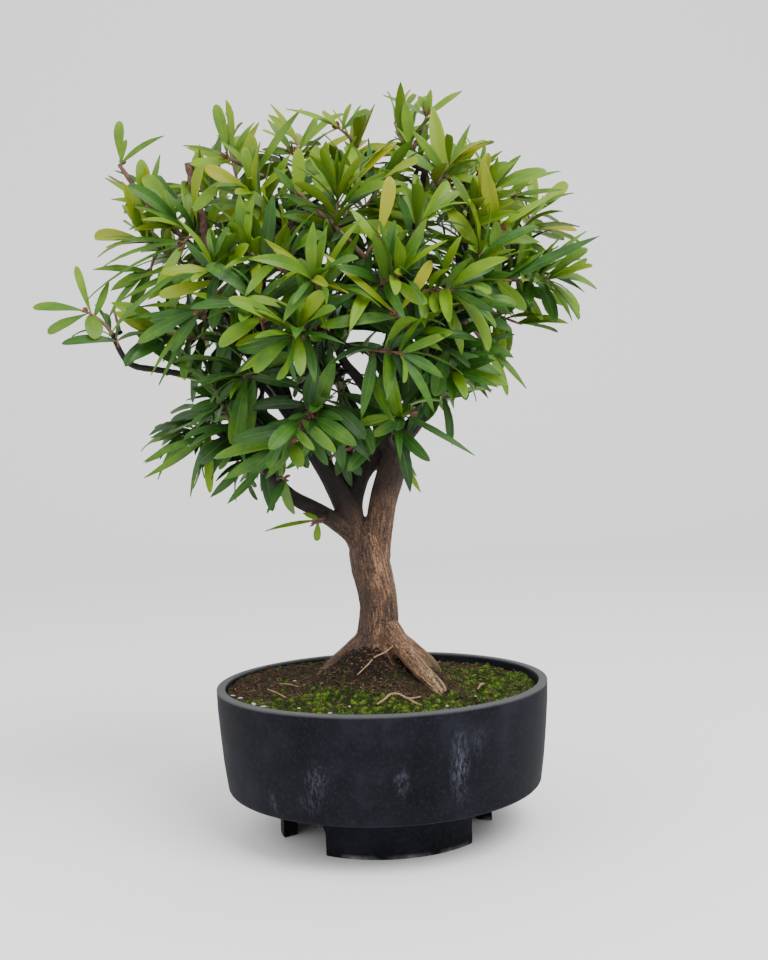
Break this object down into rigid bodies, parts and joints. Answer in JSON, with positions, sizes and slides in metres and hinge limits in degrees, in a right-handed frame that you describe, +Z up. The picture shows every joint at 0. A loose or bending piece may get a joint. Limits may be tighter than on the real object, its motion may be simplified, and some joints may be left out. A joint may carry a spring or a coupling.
{
  "type": "potted bonsai tree",
  "caption": "Pomegranate bonsai with a forked trunk, surface roots and a round leafy crown, growing in a round dark pot on a ring foot with arched cut-outs.",
  "frame": {"origin": "centre of the whole plant's footprint, at the bottom of the pot's foot", "axes": "+Z up; -Y towards the viewer; +X to the viewer's right"},
  "size_m": [0.4126, 0.2984, 0.5576],
  "materials": {
    "pot_glaze": "matt dark slate grey",
    "mesh_plastic": "matt black",
    "soil": "rough, loose soil",
    "bark": "rough bark",
    "leaf": "leaf, slightly glossy"
  },
  "bodies": {
    "root": {"pot": "pot_glaze", "drainage_mesh": "mesh_plastic", "soil": "soil", "trunk_and_branches": "bark", "leafy_shoot_back_01": "leaf", "leafy_shoot_back_02": "leaf", "leafy_shoot_back_03": "leaf", "leafy_shoot_back_04": "leaf", "leafy_shoot_back_05": "leaf", "leafy_shoot_back_06": "leaf", "leafy_shoot_back_07": "leaf", "leafy_shoot_back_08": "leaf", "leafy_shoot_behind_trunk": "leaf", "leafy_shoot_crest": "leaf", "leafy_shoot_crest_front": "leaf", "leafy_shoot_crest_left": "leaf", "leafy_shoot_crest_right": "leaf", "leafy_shoot_face_centre": "leaf", "leafy_shoot_face_far_left": "leaf", "leafy_shoot_face_high": "leaf", "leafy_shoot_face_inner": "leaf", "leafy_shoot_face_left": "leaf", "leafy_shoot_face_left_high": "leaf", "leafy_shoot_face_low_right": "leaf", "leafy_shoot_face_middle": "leaf", "leafy_shoot_face_right": "leaf", "leafy_shoot_face_top": "leaf", "leafy_shoot_face_upper_right": "leaf", "leafy_shoot_far_left": "leaf", "leafy_shoot_fork_sprig": "leaf", "leafy_shoot_left": "leaf", "leafy_shoot_left_front": "leaf", "leafy_shoot_left_front_high": "leaf", "leafy_shoot_left_low_front": "leaf", "leafy_shoot_low_centre": "leaf", "leafy_shoot_low_face": "leaf", "leafy_shoot_low_left_back": "leaf", "leafy_shoot_low_left_front": "leaf", "leafy_shoot_low_left_inner": "leaf", "leafy_shoot_low_left_middle": "leaf", "leafy_shoot_low_left_outer": "leaf", "leafy_shoot_low_left_side": "leaf", "leafy_shoot_low_left_tip": "leaf", "leafy_shoot_low_right": "leaf", "leafy_shoot_right_back": "leaf", "leafy_shoot_right_drooping": "leaf", "leafy_shoot_right_front": "leaf", "leafy_shoot_right_front_high": "leaf", "leafy_shoot_right_high": "leaf", "leafy_shoot_right_low": "leaf", "leafy_shoot_right_shoulder": "leaf", "leafy_shoot_right_tip": "leaf", "leafy_shoot_summit": "leaf", "leafy_shoot_top_left": "leaf", "leafy_shoot_top_left_front": "leaf", "leafy_shoot_top_left_inner": "leaf", "leafy_shoot_top_left_tip": "leaf"}
  },
  "joints": []
}
